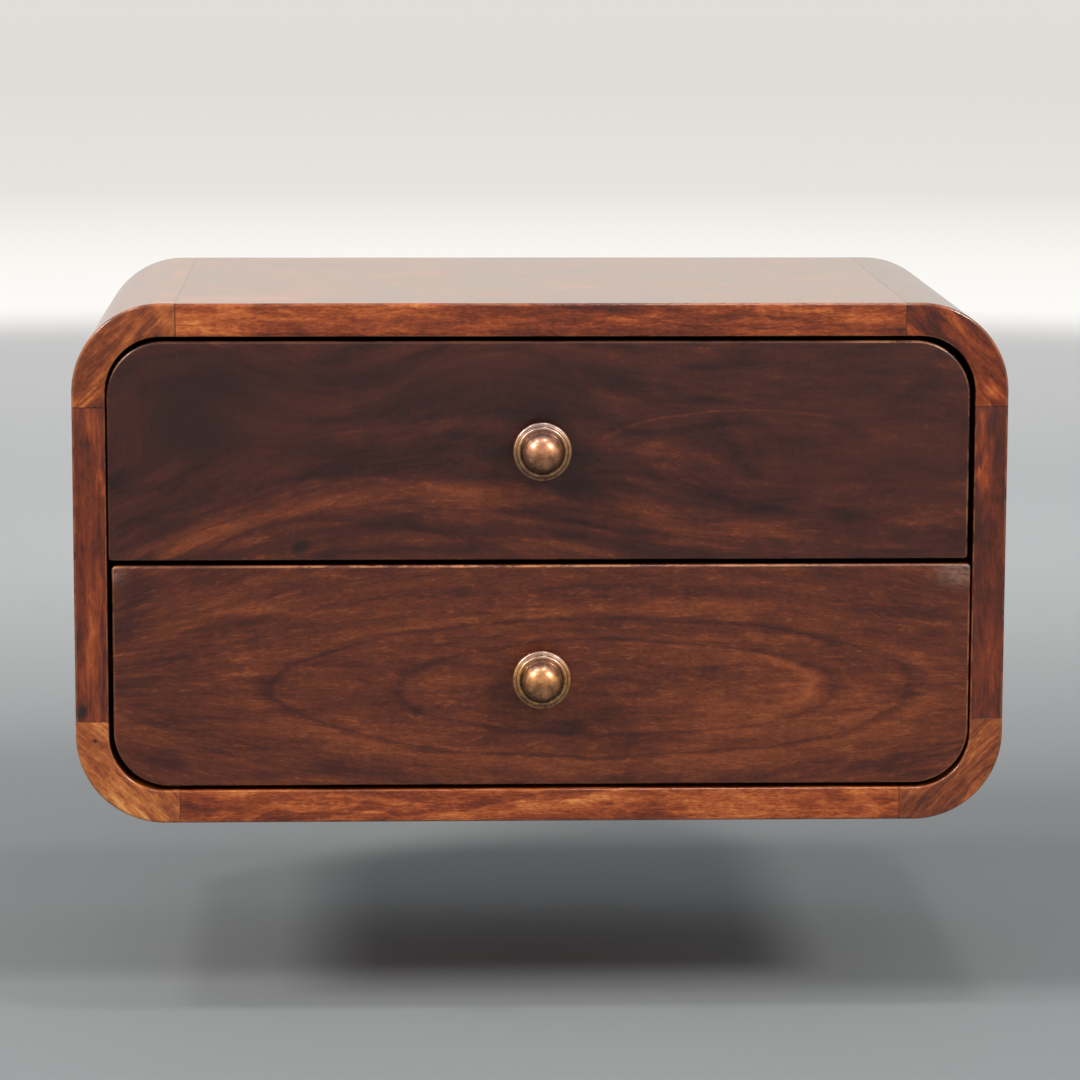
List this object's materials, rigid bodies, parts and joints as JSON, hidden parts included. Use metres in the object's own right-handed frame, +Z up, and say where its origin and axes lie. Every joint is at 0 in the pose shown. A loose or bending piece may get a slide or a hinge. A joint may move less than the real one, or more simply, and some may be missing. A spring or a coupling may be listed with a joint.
{
  "type": "floating nightstand",
  "caption": "Wall-hung wooden nightstand: a ring with rounded corner blocks around two inset drawers with turned brass knobs, hung on keyhole plates.",
  "frame": {"origin": "middle of the wall face, which is the rear face of the back panel, flush with the rear edges of the case", "axes": "+X to the right seen from the front, +Y into the wall, +Z up; the drawers face -Y"},
  "size_m": [0.45, 0.2746, 0.253],
  "materials": {
    "case_wood": "clear satin lacquer over orange-brown mango wood",
    "front_wood": "dark red-brown stain under satin lacquer",
    "drawer_wood": "bare sanded wood",
    "plain_wood": "bare planed hardwood",
    "plywood": "bare sanded plywood",
    "aged_brass": "aged copper-toned, darkened in the grooves",
    "zinc_steel": "zinc plated"
  },
  "bodies": {
    "carcass": {"top_board": "case_wood", "bottom_board": "case_wood", "left_board": "case_wood", "right_board": "case_wood", "corner_block_top_left": "case_wood", "corner_block_top_right": "case_wood", "corner_block_bottom_left": "case_wood", "corner_block_bottom_right": "case_wood", "tongue_top_board_left": "plain_wood", "tongue_top_board_right": "plain_wood", "tongue_bottom_board_left": "plain_wood", "tongue_bottom_board_right": "plain_wood", "tongue_left_board_top": "plain_wood", "tongue_left_board_bottom": "plain_wood", "tongue_right_board_top": "plain_wood", "tongue_right_board_bottom": "plain_wood", "back_panel": "plywood", "hanging_rail": "plain_wood", "keyhole_plate_left": "zinc_steel", "keyhole_plate_right": "zinc_steel", "keyhole_screw_left_lower": "zinc_steel", "keyhole_screw_left_upper": "zinc_steel", "keyhole_screw_right_lower": "zinc_steel", "keyhole_screw_right_upper": "zinc_steel", "runner_upper_left": "plain_wood", "runner_upper_right": "plain_wood", "runner_lower_left": "plain_wood", "runner_lower_right": "plain_wood", "runner_screw_upper_left_front": "zinc_steel", "runner_screw_upper_left_rear": "zinc_steel", "runner_screw_upper_right_front": "zinc_steel", "runner_screw_upper_right_rear": "zinc_steel", "runner_screw_lower_left_front": "zinc_steel", "runner_screw_lower_left_rear": "zinc_steel", "runner_screw_lower_right_front": "zinc_steel", "runner_screw_lower_right_rear": "zinc_steel"},
    "upper_drawer": {"upper_drawer_face": "front_wood", "upper_drawer_front": "drawer_wood", "upper_drawer_back": "drawer_wood", "upper_drawer_side_left": "drawer_wood", "upper_drawer_side_right": "drawer_wood", "upper_drawer_bottom": "plywood", "upper_knob": "aged_brass", "upper_knob_screw": "zinc_steel", "upper_front_screw_left_bottom": "zinc_steel", "upper_front_screw_left_top": "zinc_steel", "upper_front_screw_right_bottom": "zinc_steel", "upper_front_screw_right_top": "zinc_steel"},
    "lower_drawer": {"lower_drawer_face": "front_wood", "lower_drawer_front": "drawer_wood", "lower_drawer_back": "drawer_wood", "lower_drawer_side_left": "drawer_wood", "lower_drawer_side_right": "drawer_wood", "lower_drawer_bottom": "plywood", "lower_knob": "aged_brass", "lower_knob_screw": "zinc_steel", "lower_front_screw_left_bottom": "zinc_steel", "lower_front_screw_left_top": "zinc_steel", "lower_front_screw_right_bottom": "zinc_steel", "lower_front_screw_right_top": "zinc_steel"}
  },
  "joints": [
    {"name": "upper_drawer_slide", "type": "slide", "parent": "carcass", "child": "upper_drawer", "axis": [0, -1, 0], "range_m": [0, 0.14]},
    {"name": "lower_drawer_slide", "type": "slide", "parent": "carcass", "child": "lower_drawer", "axis": [0, -1, 0], "range_m": [0, 0.14]}
  ]
}
